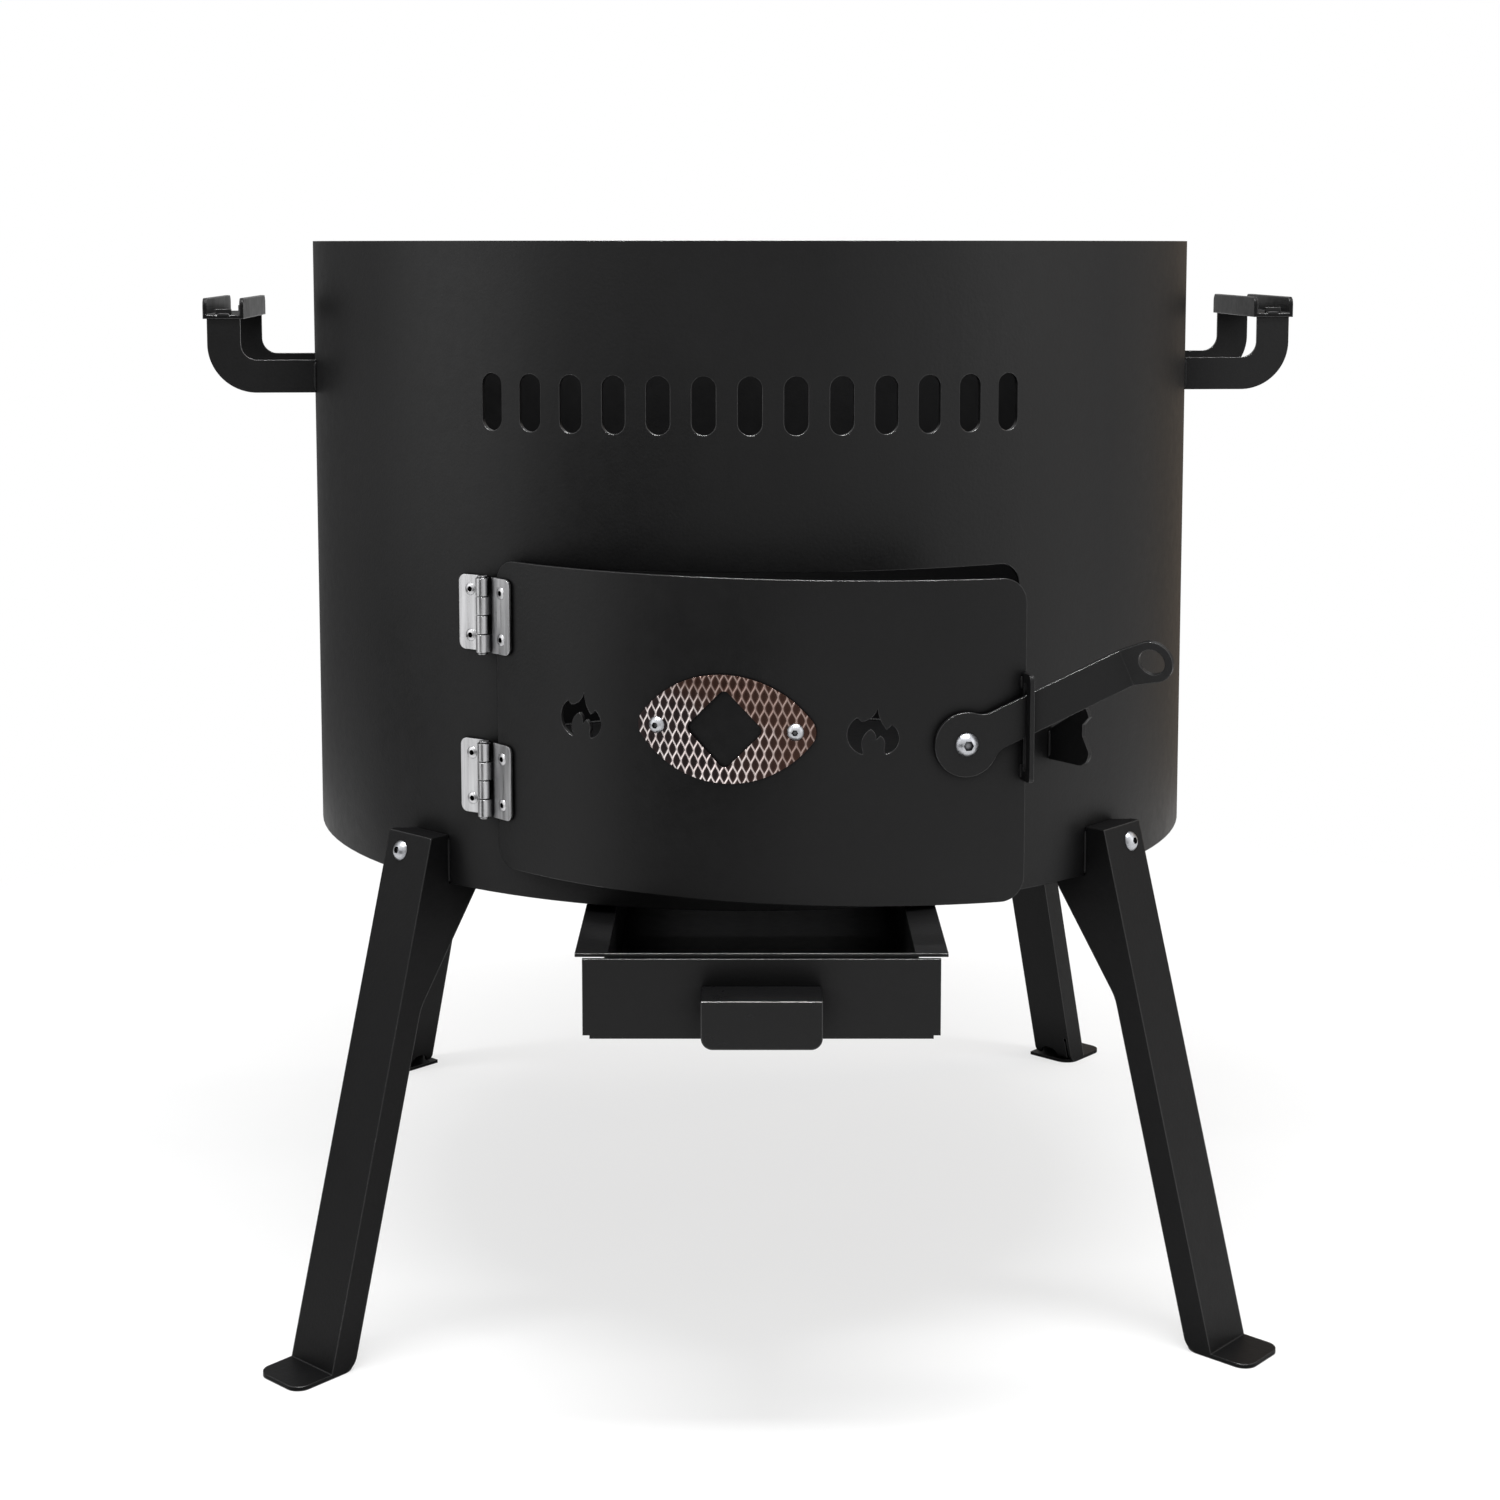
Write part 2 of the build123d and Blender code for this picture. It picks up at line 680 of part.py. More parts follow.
def door_panel():
    panel = curved_plate(
        door_inner_r, door_outer_r, doorway_left - door_lap_side, doorway_right + door_lap_side,
        doorway_z - door_lap_ends, doorway_z + doorway_height + door_lap_ends, door_corner_r,
    )
    for azimuth in (flame_left_azimuth, flame_right_azimuth):
        start = facing(azimuth, door_inner_r - door_wall, doorway_mid_z + flame_above_middle)
        panel -= raised(start, flame(flame_width, flame_height), 3 * door_wall)
    for azimuth in badge_screw_azimuths():
        start = facing(azimuth, door_inner_r - door_wall, badge_z)
        panel -= raised(start, Circle(badge_screw_r + bolt_play), 3 * door_wall)
    start = facing(latch_azimuth, door_inner_r - door_wall, latch_z)
    panel -= raised(start, Circle(pivot_r + bolt_play), 3 * door_wall)
    for cutter in rivet_holes(1, door_inner_r - door_wall, door_outer_r + door_wall):
        panel -= cutter
    return panel


badge_z = doorway_mid_z + badge_above_middle
badge_seat_r = door_outer_r + weld_gap


def badge_plate():
    ring = Cylinder(badge_seat_r + badge_t, badge_height * 2) - Cylinder(badge_seat_r, badge_height * 2)
    blank = badge_outline()
    window = Rot(0, 0, badge_window_turn) * RectangleRounded(badge_window, badge_window, badge_window_corner_r)
    start = facing(badge_azimuth, door_inner_r - badge_width / 4, badge_z)
    plate = raised(start, blank - window, badge_width / 2) & Pos(0, 0, badge_z) * ring
    for azimuth in badge_screw_azimuths():
        start = facing(azimuth, door_inner_r, badge_z)
        plate -= raised(start, Circle(badge_screw_r + bolt_play), 3 * door_wall)
    return plate


def badge_screw(azimuth):
    """Screw from the badge's face to its nut behind the door."""
    length = badge_t + door_wall + 2 * weld_gap + badge_nut_sink() + badge_nut_h + bolt_tail / 2
    screw = button_head(badge_head_r, badge_head_h, badge_socket) + rod(badge_screw_r, -length, 0)
    return facing(azimuth, badge_seat_r + badge_t, badge_z).location * screw


def badge_nut_sink():
    """Gap that the door's curve leaves between its inner face and a flat nut."""
    corner = hex_corner(badge_nut_across)
    return door_inner_r - sqrt(door_inner_r**2 - corner**2)


def badge_nut(azimuth):
    nut = hex_nut(badge_nut_across, badge_nut_h, badge_screw_r + shank_play)
    return facing(azimuth, door_inner_r - badge_nut_sink() - weld_gap, badge_z).location * nut


lever_r = door_outer_r + weld_gap + pivot_washer_t + 2 * weld_gap


def latch_washer():
    ring = rod(pivot_washer_r, 0, pivot_washer_t) - rod(pivot_r + shank_play, 0, pivot_washer_t)
    return facing(latch_azimuth, door_outer_r + weld_gap, latch_z).location * ring


def latch_nut_sink():
    corner = hex_corner(pivot_nut_across)
    return door_inner_r - sqrt(door_inner_r**2 - corner**2) + weld_gap


def latch_pivot_bolt():
    seat_r = lever_r + lever_t + 2 * weld_gap
    length = seat_r - door_inner_r + latch_nut_sink() + pivot_nut_h + bolt_tail
    bolt = button_head(pivot_head_r, pivot_head_h, pivot_socket) + rod(pivot_r, -length, 0)
    return facing(latch_azimuth, seat_r, latch_z).location * bolt


def latch_pivot_nut():
    nut = hex_nut(pivot_nut_across, pivot_nut_h, pivot_r + shank_play)
    return facing(latch_azimuth, door_inner_r - latch_nut_sink(), latch_z).location * nut


def latch_guide():
    """Upright plate at the door's free edge, slotted for the lever."""
    outer_r = door_outer_r + guide_depth
    height = guide_below + guide_above
    blank = Pos(door_outer_r + weld_gap, latch_z - guide_below) * Rectangle(
        guide_depth, height, align=(Align.MIN, Align.MIN)
    )
    blank = fillet(blank.vertices().sort_by(Axis.X)[-2:], guide_corner_r)
    lean = cos(radians(guide_azimuth - latch_azimuth))
    slot_in = lever_r / lean - guide_play
    slot_out = (lever_r + lever_t) / lean + guide_play
    slot = Pos(slot_in, latch_z - guide_below + guide_rail) * Rectangle(
        slot_out - slot_in, height - 2 * guide_rail, align=(Align.MIN, Align.MIN)
    )
    plate = side_plate(blank - slot, -guide_t / 2, guide_t / 2)
    return around(guide_azimuth) * plate


def latch_lever():
    """Flat lever with a round end at its pivot and a bent eye at its tip, raised as it rests."""
    blank = Circle(lever_disc_r) + Rectangle(lever_arm, lever_width, align=START)
    neck_x = sqrt(lever_disc_r**2 - (lever_width / 2) ** 2)
    necks = [
        blank.vertices().sort_by_distance((neck_x, end * lever_width / 2))[0] for end in (-1, 1)
    ]
    arm = raised(Plane.XY, fillet(necks, lever_neck_r), lever_t)
    flare = Polygon(
        (0, -lever_width / 2), (lever_tip, -lever_tip_r), (lever_tip, lever_tip_r), (0, lever_width / 2),
        align=None,
    )
    eye = flare + Pos(lever_tip, 0) * Circle(lever_tip_r)
    eye = raised(Plane.XY, eye - Pos(lever_tip, 0) * Circle(lever_eye_r), lever_t)
    lever = arm + Pos(lever_arm, 0, 0) * Rot(0, -lever_tip_bend, 0) * eye
    lever -= rod(pivot_r + shank_play, 0, lever_t)
    pivot = facing(latch_azimuth, lever_r, latch_z).location
    return pivot * Rot(0, 0, latch_raised) * lever


# Ash drawer

def ash_drawer_tray():
    """Open tray with turned-out side flanges, which run in the rails."""
    box = Box(drawer_width, drawer_length, drawer_depth, align=(Align.CENTER, Align.MIN, Align.MAX))
    inside = Pos(0, drawer_sheet, 0) * Box(
        drawer_width - 2 * drawer_sheet, drawer_length - 2 * drawer_sheet,
        drawer_depth - drawer_sheet, align=(Align.CENTER, Align.MIN, Align.MAX),
    )
    tray = box - inside
    for side, edge in ((-1, Align.MAX), (1, Align.MIN)):
        tray += Pos(side * (drawer_width / 2 - drawer_sheet), 0, 0) * Box(
            drawer_flange + drawer_sheet, drawer_length, drawer_sheet, align=(edge, Align.MIN, Align.MAX)
        )
    return Pos(drawer_offset, drawer_front_y + drawer_front_t, drawer_top_z) * tray


def drawer_front():
    """Flat front, wider than the tray, with a small notch at each lower corner."""
    sheet = Rectangle(drawer_front_width, drawer_front_height, align=(Align.CENTER, Align.MAX))
    for side in (-1, 1):
        sheet -= Pos(side * drawer_front_width / 2, -drawer_front_height) * Rectangle(
            2 * drawer_front_notch, drawer_front_notch
        )
    back = Plane(
        origin=(drawer_offset, drawer_front_y + drawer_front_t, drawer_top_z - drawer_front_top_drop),
        x_dir=(1, 0, 0), z_dir=(0, -1, 0),
    )
    return raised(back, sheet, drawer_front_t)


def drawer_pull():
    """Folded finger pull: a level shelf and a lip that hangs from it."""
    top_z = drawer_top_z - drawer_front_top_drop - pull_drop
    shelf = Box(pull_width, pull_depth, pull_sheet, align=(Align.CENTER, Align.MAX, Align.MAX))
    lip = Rectangle(pull_width, pull_lip, align=(Align.CENTER, Align.MAX))
    lip = fillet(lip.vertices().sort_by(Axis.Y)[:2], pull_corner_r)
    back = Plane(origin=(0, pull_sheet - pull_depth, 0), x_dir=(1, 0, 0), z_dir=(0, -1, 0))
    return Pos(drawer_offset, drawer_front_y, top_z) * (shelf + raised(back, lip, pull_sheet))


def drawer_rail(side):
    """Folded rail under the drum floor: a foot, a web and a ledge under the tray's flange."""
    web_x = drawer_width / 2 + drawer_flange + running_play
    ledge_top = drawer_top_z - drawer_sheet - running_play
    start_y = -(drum_outer_r - rail_setback)
    end_y = drawer_front_y + drawer_pulled + drawer_length + rail_tail
    outline = Polygon(
        (web_x, drum_bottom_z), (web_x + rail_foot, drum_bottom_z),
        (web_x + rail_foot, drum_bottom_z - rail_sheet), (web_x + rail_sheet, drum_bottom_z - rail_sheet),
        (web_x + rail_sheet, ledge_top - rail_sheet), (web_x + rail_sheet - rail_ledge, ledge_top - rail_sheet),
        (web_x + rail_sheet - rail_ledge, ledge_top), (web_x, ledge_top), align=None,
    )
    rail = side_plate(outline, start_y, end_y)
    if side < 0:
        rail = mirror(rail, about=Plane.YZ)
    return Pos(drawer_offset, 0, 0) * rail


# All the pieces under their names

def hinge_pieces():
    pieces = {}
    for name, z in hinge_centres().items():
        pieces[name + "_hinge_frame_leaf"] = at_hinge(z) * hinge_leaf_plate(-1, frame_leaf_r, 0)
        door_leaf = hinge_leaf_plate(1, door_leaf_r, 1)
        pieces[name + "_hinge_door_leaf"] = hang(at_hinge(z) * door_leaf)
        half = hinge_height / 2
        pin = rod(hinge_pin_r, -half, half)
        pin += rod(hinge_pin_head_r, half, half + hinge_pin_head_h)
        pin += rod(hinge_pin_head_r, -half - hinge_pin_head_h, -half)
        pieces[name + "_hinge_pin"] = at_hinge(z) * Pos(hinge_r, 0, 0) * pin
    return pieces


def rivet(side, leaf_r, tail_r):
    """Rivets of one leaf in each hinge. tail_r is where the tail ends inside, or None for a bulged one."""
    rivets = []
    head_r = leaf_r + hinge_leaf_t
    end_r = tail_r or drum_inner_r - drum_wall
    for z in hinge_centres().values():
        for sideways, up in rivet_places(side):
            shape = rod(rivet_r, end_r - head_r, 0)
            dome_r = (rivet_head_r**2 + rivet_head_h**2) / (2 * rivet_head_h)
            dome = Pos(0, 0, rivet_head_h - dome_r) * Sphere(dome_r)
            shape += dome & rod(rivet_head_r, 0, rivet_head_h)
            shape -= rod(rivet_bore_r, -rivet_bore_depth, rivet_head_h)
            if tail_r is None:
                bulge_r = sqrt(drum_inner_r**2 - (rivet_offset + rivet_tail_r) ** 2)
                shape += rod(rivet_tail_r, bulge_r - rivet_tail_h - head_r, bulge_r - head_r)
            seat = Plane(origin=(head_r, sideways, up), x_dir=(0, 1, 0), z_dir=(1, 0, 0))
            rivets.append(at_hinge(z) * seat.location * shape)
    return rivets


def all_pieces():
    pieces = {
        "drum_shell": drum_shell(),
        "drum_floor": drum_floor(),
        "fire_grate": fire_grate(),
        "latch_keeper": latch_keeper(),
        "leg_bolts": [leg_bolt(*place) for place in leg_places().values()],
        "leg_spacers": [leg_spacer(*place) for place in leg_places().values()],
        "leg_nuts": [leg_nut(*place) for place in leg_places().values()],
        "frame_hinge_rivets": rivet(-1, frame_leaf_r, None),
        "door_hinge_rivets": [hang(one) for one in rivet(1, door_leaf_r, door_inner_r)],
        "door_panel": hang(door_panel()),
        "badge_plate": hang(badge_plate()),
        "badge_screws": [hang(badge_screw(azimuth)) for azimuth in badge_screw_azimuths()],
        "badge_nuts": [hang(badge_nut(azimuth)) for azimuth in badge_screw_azimuths()],
        "latch_guide": hang(latch_guide()),
        "latch_washer": hang(latch_washer()),
        "latch_pivot_bolt": hang(latch_pivot_bolt()),
        "latch_pivot_nut": hang(latch_pivot_nut()),
        "latch_lever": hang(latch_lever()),
        "ash_drawer_tray": ash_drawer_tray(),
        "drawer_front": drawer_front(),
        "drawer_pull": drawer_pull(),
    }
    pieces.update(hinge_pieces())
    for name, place in leg_places().items():
        pieces["leg_" + name] = leg(*place)
    for name, side in (("left", -1), ("right", 1)):
        half = handle_spacing / 2
        pieces[name + "_handle_front_elbow"] = elbow(side, -side * half)
        pieces[name + "_handle_rear_elbow"] = elbow(side, side * half)
        pieces[name + "_handle_grip"] = grip(side)
        pieces[name + "_drawer_rail"] = drawer_rail(side)
    return pieces


def write_parts():
    os.makedirs("parts", exist_ok=True)
    for name, piece in all_pieces().items():
        solids = piece if isinstance(piece, list) else [piece]
        group = Compound(children=[solid for shape in solids for solid in shape.solids()])
        export_step(group, f"parts/{name}.step")


write_parts()
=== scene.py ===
import json
from math import ceil, cos, degrees, pi, radians, sin, sqrt

import bmesh
import bpy
from bpy.props import FloatProperty, FloatVectorProperty, IntProperty, PointerProperty
from mathutils import Matrix, Vector


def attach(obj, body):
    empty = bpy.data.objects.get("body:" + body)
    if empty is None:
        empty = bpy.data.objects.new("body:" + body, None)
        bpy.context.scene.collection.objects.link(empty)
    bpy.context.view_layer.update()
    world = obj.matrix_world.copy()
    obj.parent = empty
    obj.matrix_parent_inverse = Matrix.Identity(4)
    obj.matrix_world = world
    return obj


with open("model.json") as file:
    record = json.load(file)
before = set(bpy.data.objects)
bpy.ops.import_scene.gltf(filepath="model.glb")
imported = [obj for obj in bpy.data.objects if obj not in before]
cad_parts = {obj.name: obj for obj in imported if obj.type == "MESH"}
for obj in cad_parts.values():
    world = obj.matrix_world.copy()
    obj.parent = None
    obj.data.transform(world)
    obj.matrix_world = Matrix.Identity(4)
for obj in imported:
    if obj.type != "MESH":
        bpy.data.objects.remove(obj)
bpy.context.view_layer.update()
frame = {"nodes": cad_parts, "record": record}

bl_info = {
    "name": "Cauldron stove looks",
    "version": (1, 0, 0),
    "blender": (4, 5, 0),
    "location": "3D View > Sidebar > Stove",
    "description": "Materials, weld beads and studio for a sheet-steel cauldron stove",
    "category": "Object",
}

# The stove's own measures that the added pieces are placed by, in metres and degrees.
# Sideways places are beside a radius, and ends are those of a bead.

# Drum: wall, underside, seam and the plate that is its floor
DRUM_R = 0.230
DRUM_LOW = 0.219
SEAM_AZIMUTH = 169.1
SEAM_ENDS = (0.2200, 0.5212)
SEAM_SINK = 0.0006
DRUM_FLOOR_R = 0.2276
DRUM_FLOOR_Z = 0.2212

# Both faces of a single plate, either side of its middle
PLATE_FACES = (-0.0011, 0.0011)

# Handles: faces of the elbows, and tabs that show on top of the grips
HANDLE_TURN = 3.6
ELBOW_FACES = (-0.0425, -0.0405, 0.0405, 0.0425)
ELBOW_ENDS = (0.4455, 0.4603)
GRIP_TABS = (-0.0415, 0.0415)
GRIP_TAB_ENDS = (0.2693, 0.2763)
GRIP_TOP_Z = 0.4845

# Legs: azimuth of each and the way that it folds, then the sides that meet the drum
LEG_PLACES = ((-42.0, 1), (48.0, -1), (138.1, -1), (226.8, 1))
LEG_SIDE_FACES = (0.0131, 0.0149)
LEG_WALL_ENDS = (0.2405, 0.2200)
LEG_UNDER_ENDS = (0.2270, 0.2100)

# Door, hung ajar on its hinge axis, and the latch's two plates
DOOR_AJAR = 16.4
DOOR_R = 0.2323
HINGE_AZIMUTH = -31.45
HINGE_R = 0.236
KEEPER_AZIMUTH = 38.0
KEEPER_ENDS = (0.2805, 0.2928)
GUIDE_AZIMUTH = 33.3
GUIDE_TACKS = (0.2886, 0.3080, 0.3275)
GUIDE_TACK = 0.006

# Badge plate: middle, and width and height of one lens of its net
BADGE_AZIMUTH = 0.7
BADGE_Z = 0.3102
NET_WIDTH = 0.0040
NET_HEIGHT = 0.0101

# Ash drawer: where each tack begins behind the front and on the pull, and how long it is
FRONT_TACKS_X = (-0.0605, 0.0705)
FRONT_TACKS_Z = (0.184, 0.204)
FRONT_TACKS_Y = -0.2859
FRONT_TACK = 0.007
PULL_TACKS_X = (-0.019, 0.001, 0.021)
PULL_TACKS_Y = -0.2882
PULL_TACKS_Z = 0.1994
PULL_TACK = 0.008

# Beads: how far the middle stands off a face, the ripple's share of the radius, rings in one
# ripple, and rings over which an end narrows
BEAD_LIFT = 0.0002
RIPPLE_SHARE = 0.09
RIPPLE_RINGS = 4
TAPER_RINGS = 4

# Coat: how much smoother and shinier an edge is, and what shine the painted shade leaves in a recess
EDGE_SMOOTHER = 0.2
EDGE_SHINIER = 4
SHADED_RECESS_SHINE = 0.12

# How far off a neighbour casts painted shade into a recess on bright metal, on the badge and on the
# coat
METAL_SHADE_REACH = 0.0045
BADGE_SHADE_REACH = 0.0036
COAT_SHADE_REACH = 0.045

# The studio floor turns plain white from the first radius to the second, and is partly so inside
STAGE_FADE = (0.6, 0.9)
STAGE_WHITE_SHARE = 0.66
STAGE_HALF = 12.0
STAGE_DROP = 0.0002

# Name, place, aim, size, setting and colour of each light
LIGHTS = (
    ("left_light", (-1.9, -0.7, 1.1), (0, 0, 0.32), (1.2, 1.8), "key", (1, 1, 1)),
    ("right_light", (1.8, -0.9, 1.1), (0, 0, 0.32), (1.0, 1.6), "fill", (1, 1, 1)),
    ("warm_light", (1.7, 0.55, 0.8), (0.1, 0, 0.36), (0.5, 1.4), "rim", (1, 0.8, 0.62)),
    ("strip_light", (0, -0.35, 1.7), (0, 0, 0.3), (1.3, 0.14), "strip", (1, 1, 1)),
    ("top_light", (0, -0.3, 2.4), (0, 0, 0.3), (2.2, 2.2), "top", (1, 1, 1)),
)

# Name, azimuth, distance, width, height, shade and colour of each card that the coat reflects
FLAGS = (
    ("front_flag", 0, 1.9, 1.6, 1.0, 0.65),
    ("low_flag", -32, 1.0, 0.62, 0.40, 0.01),
    ("left_low_flag", -88, 0.95, 0.6, 0.22, 0.02),
    ("left_flag", -104, 1.05, 0.45, 0.9, 0.33),
    ("left_rear_flag", -128, 1.05, 0.45, 0.9, 0.17),
    ("left_back_flag", -152, 1.05, 0.45, 0.9, 0.24),
    ("right_flag", 104, 1.05, 0.45, 0.9, 0.5),
    ("right_rear_flag", 128, 1.05, 0.45, 0.9, 0.3, (1, 0.84, 0.68)),
    ("right_back_flag", 152, 1.05, 0.45, 0.9, 0.24, (1, 0.78, 0.6)),
)


# Settings

class StoveCoat(bpy.types.PropertyGroup):
    """Black powder coat"""
    colour: FloatVectorProperty(
        name="Colour", description="Base colour of the coat", subtype="COLOR", size=3,
        min=0, max=1, default=(0.0036, 0.0036, 0.0038),
    )
    roughness: FloatProperty(
        name="Roughness", description="Middle roughness of the coat", min=0, max=1, default=0.40
    )
    sheen: FloatProperty(
        name="Sheen", description="Specular level of the coat", min=0, max=1, default=0.24
    )
    peel: FloatProperty(
        name="Orange peel", description="Height of the coat's fine ripple", min=0, max=0.001,
        default=0.00006, unit="LENGTH", precision=6,
    )
    edge: FloatProperty(
        name="Edge radius", description="Rounding that the coat gives to sheet edges", min=0,
        max=0.003, default=0.0006, unit="LENGTH", precision=4,
    )


class StoveBead(bpy.types.PropertyGroup):
    """Weld beads"""
    radius: FloatProperty(
        name="Radius", description="Half the width of a bead", min=0.0003, max=0.004,
        default=0.0012, unit="LENGTH", precision=4,
    )
    ripple: FloatProperty(
        name="Ripple", description="Length of one ripple along a bead", min=0.0005, max=0.01,
        default=0.0017, unit="LENGTH", precision=4,
    )
    sides: IntProperty(
        name="Sides", description="Faces round a bead", min=6, max=32, default=10
    )


class StoveStudio(bpy.types.PropertyGroup):
    """Camera and lights"""
    distance: FloatProperty(
        name="Distance", description="Level distance from the drum's axis to the camera", min=0.5,
        max=6, default=1.329, unit="LENGTH",
    )
    eye: FloatProperty(
        name="Eye height", description="Height of the camera above the floor", min=0, max=3,
        default=0.52, unit="LENGTH",
    )
    lens: FloatProperty(
        name="Focal length", description="Focal length of the camera in millimetres", min=20,
        max=200, default=59.4,
    )
    shift: FloatProperty(
        name="Shift", description="Vertical shift of the camera", min=-0.5, max=0.5, default=-0.165
    )
    pitch: FloatProperty(
        name="Pitch", description="Angle that the camera looks down by", min=-1, max=1,
        default=radians(5.94), unit="ROTATION",
    )
    key: FloatProperty(
        name="Left light", description="Power of the large light on the left", min=0, max=500,
        default=5.5,
    )
    fill: FloatProperty(
        name="Right light", description="Power of the light on the right", min=0, max=500, default=5
    )
    rim: FloatProperty(
        name="Warm light", description="Power of the warm light behind on the right", min=0, max=500,
        default=4,
    )
    strip: FloatProperty(
        name="Strip light", description="Power of the narrow light overhead", min=0, max=500, default=30
    )
    top: FloatProperty(
        name="Top light", description="Power of the light overhead", min=0, max=500, default=20
    )
    sky: FloatProperty(
        name="Sky", description="Strength of the even light from all round", min=0, max=5, default=0.55
    )


class StoveSettings(bpy.types.PropertyGroup):
    """All the settings of the stove's looks"""
    coat: PointerProperty(type=StoveCoat, name="Coat", description="Black powder coat")
    bead: PointerProperty(type=StoveBead, name="Beads", description="Weld beads")
    studio: PointerProperty(type=StoveStudio, name="Studio", description="Camera and lights")


# Node helpers

class Tree:
    """Short ways to add and join shader nodes."""

    def __init__(self, name):
        self.material = bpy.data.materials.new(name)
        self.material.use_nodes = True
        self.nodes = self.material.node_tree.nodes
        self.links = self.material.node_tree.links
        self.shader = self.nodes["Principled BSDF"]
        self.place = self.add("ShaderNodeTexCoord").outputs["Object"]

    def add(self, kind, **values):
        node = self.nodes.new(kind)
        for key, value in values.items():
            setattr(node, key, value)
        return node

    def feed(self, socket, value):
        if isinstance(value, bpy.types.NodeSocket):
            self.links.new(value, socket)
        else:
            socket.default_value = value

    def math(self, operation, *values):
        node = self.add("ShaderNodeMath", operation=operation)
        for socket, value in zip(node.inputs, values):
            self.feed(socket, value)
        return node.outputs[0]

    def mapped(self, scale=(1, 1, 1), turn=(0, 0, 0), shift=(0, 0, 0)):
        node = self.add("ShaderNodeMapping", vector_type="POINT")
        self.feed(node.inputs["Vector"], self.place)
        node.inputs["Scale"].default_value = scale
        node.inputs["Rotation"].default_value = turn
        node.inputs["Location"].default_value = shift
        return node.outputs["Vector"]

    def noise(self, scale, detail=2.0, rough=0.5, place=None):
        node = self.add("ShaderNodeTexNoise")
        self.feed(node.inputs["Vector"], place or self.place)
        node.inputs["Scale"].default_value = scale
        node.inputs["Detail"].default_value = detail
        node.inputs["Roughness"].default_value = rough
        return node.outputs["Fac"]

    def ranged(self, value, low, high, start=0.0, end=1.0):
        """Turns the range from start to end into the range from low to high."""
        node = self.add("ShaderNodeMapRange", clamp=True)
        for name, number in (("From Min", start), ("From Max", end), ("To Min", low), ("To Max", high)):
            self.feed(node.inputs[name], number)
        self.feed(node.inputs["Value"], value)
        return node.outputs["Result"]

    def mixed(self, share, first, second):
        node = self.add("ShaderNodeMix", data_type="RGBA")
        self.feed(node.inputs["Factor"], share)
        self.feed(node.inputs["A"], first)
        self.feed(node.inputs["B"], second)
        return node.outputs["Result"]

    def bump(self, height, distance, strength=1.0, normal=None):
        node = self.add("ShaderNodeBump")
        node.inputs["Strength"].default_value = strength
        node.inputs["Distance"].default_value = distance
        self.feed(node.inputs["Height"], height)
        if normal:
            self.feed(node.inputs["Normal"], normal)
        return node.outputs["Normal"]

    def rounded(self, radius):
        node = self.add("ShaderNodeBevel", samples=6)
        node.inputs["Radius"].default_value = radius
        return node.outputs["Normal"]

    def leaning(self, normal):
        """How far a rounded edge's normal leans away from the flat sheet's, from 0 to 1."""
        lean = self.add("ShaderNodeVectorMath", operation="DOT_PRODUCT")
        self.feed(lean.inputs[0], normal)
        self.feed(lean.inputs[1], self.add("ShaderNodeNewGeometry").outputs["Normal"])
        return self.ranged(lean.outputs["Value"], 1.0, 0.0, 0.75, 0.985)

    def open_share(self, distance, start, end, low=0.0):
        """Mask for painted shade: 1 in the open and low in a recess, for what lies within a distance.
        """
        node = self.add("ShaderNodeAmbientOcclusion", samples=8)
        node.inputs["Distance"].default_value = distance
        return self.ranged(node.outputs["AO"], low, 1.0, start, end)

    def surface(self, **values):
        for name, value in values.items():
            self.feed(self.shader.inputs[name.replace("_", " ")], value)
        return self.material


def rgb(*values):
    """Opaque colour."""
    return (*values, 1.0)


# Materials

def coat_material(settings, name="Black powder coat", rougher=0.0, edge=None, shine=1.0):
    """Semi-matte black coat with fine orange peel, glossier edges, and painted shade that cuts its
    shine in recesses.
    """
    tree = Tree(name)
    base = tuple(settings.coat.colour)
    lighter = tuple(c * 1.35 for c in base)
    cloud = tree.noise(9.0, 3.0)
    colour = tree.mixed(tree.ranged(cloud, 0, 1, 0.35, 0.65), rgb(*base), rgb(*lighter))
    middle = settings.coat.roughness + rougher
    grain = tree.noise(160.0, 2.0, 0.6)
    rough = tree.math("ADD", tree.ranged(cloud, middle - 0.03, middle + 0.03, 0.3, 0.7),
                      tree.ranged(grain, -0.03, 0.03, 0.3, 0.7))
    soft = tree.rounded(settings.coat.edge if edge is None else edge)
    on_edge = tree.leaning(soft)
    rough = tree.math("SUBTRACT", rough, tree.math("MULTIPLY", on_edge, EDGE_SMOOTHER))
    sheen = settings.coat.sheen
    level = tree.math("MULTIPLY_ADD", on_edge, sheen * EDGE_SHINIER, sheen * shine)
    # Painted shade: the shine is cut down in recesses.
    level = tree.math("MULTIPLY", level, tree.open_share(COAT_SHADE_REACH, 0.3, 0.9, SHADED_RECESS_SHINE))
    normal = tree.bump(tree.noise(650.0, 1.0, 0.5), settings.coat.peel, 0.9, soft)
    normal = tree.bump(tree.noise(38.0, 1.0, 0.5), settings.coat.peel * 4, 0.35, normal)
    return tree.surface(Base_Color=colour, Roughness=rough, Normal=normal, Specular_IOR_Level=level)


def zinc_material():
    """Bright zinc plate with faint blotches, fine machining marks and painted shade in its recesses."""
    tree = Tree("Bright zinc plate")
    cloud = tree.noise(160.0, 2.0)
    colour = tree.mixed(
        tree.ranged(cloud, 0, 1, 0.3, 0.7), rgb(0.44, 0.45, 0.48), rgb(0.53, 0.54, 0.56)
    )
    # Painted shade: near black in recesses such as sockets and beside neighbouring parts.
    colour = tree.mixed(tree.open_share(METAL_SHADE_REACH, 0.6, 0.98), rgb(0.02, 0.02, 0.022), colour)
    rough = tree.ranged(tree.noise(900.0, 2.0), 0.26, 0.4, 0.3, 0.7)
    normal = tree.bump(tree.noise(2600.0, 1.0), 0.00002, 0.8, tree.rounded(0.0003))
    return tree.surface(Base_Color=colour, Metallic=1.0, Roughness=rough, Normal=normal)


